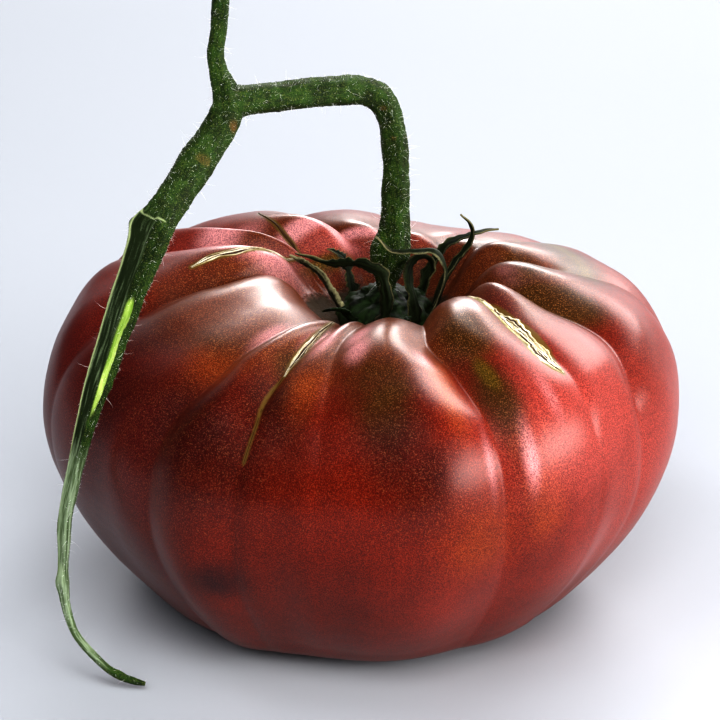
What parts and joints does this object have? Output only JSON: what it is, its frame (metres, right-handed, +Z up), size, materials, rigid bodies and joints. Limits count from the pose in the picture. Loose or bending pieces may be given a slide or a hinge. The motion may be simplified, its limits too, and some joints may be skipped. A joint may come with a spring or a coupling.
{
  "type": "ribbed beefsteak tomato with its stalk",
  "caption": "Large ribbed heirloom tomato, dark red with olive shoulders and pale growth scars, with dried calyx, bent green pedicel and a torn truss stalk, resting on its flat base.",
  "frame": {"origin": "centre of the flat spot that the fruit rests on", "axes": "+Z up; the torn strip of the truss stalk hangs at -X and -Y, and the pedicel's bend leads towards -X"},
  "size_m": [0.11, 0.1053, 0.1131],
  "materials": {
    "tomato_skin": "satin skin, dark red to coral, olive-brown shoulders, fine pale gold speckles",
    "dried_calyx": "dry, rough, dark green to brown",
    "green_stalk": "matt green, finely hairy"
  },
  "bodies": {
    "root": {"fruit": "tomato_skin", "calyx_disc": "dried_calyx", "sepal_1": "dried_calyx", "sepal_2": "dried_calyx", "sepal_3": "dried_calyx", "sepal_4": "dried_calyx", "sepal_5": "dried_calyx", "sepal_6": "dried_calyx", "sepal_7": "dried_calyx", "sepal_8": "dried_calyx", "sepal_9": "dried_calyx", "sepal_10": "dried_calyx", "pedicel": "green_stalk", "truss_stalk": "green_stalk"}
  },
  "joints": []
}
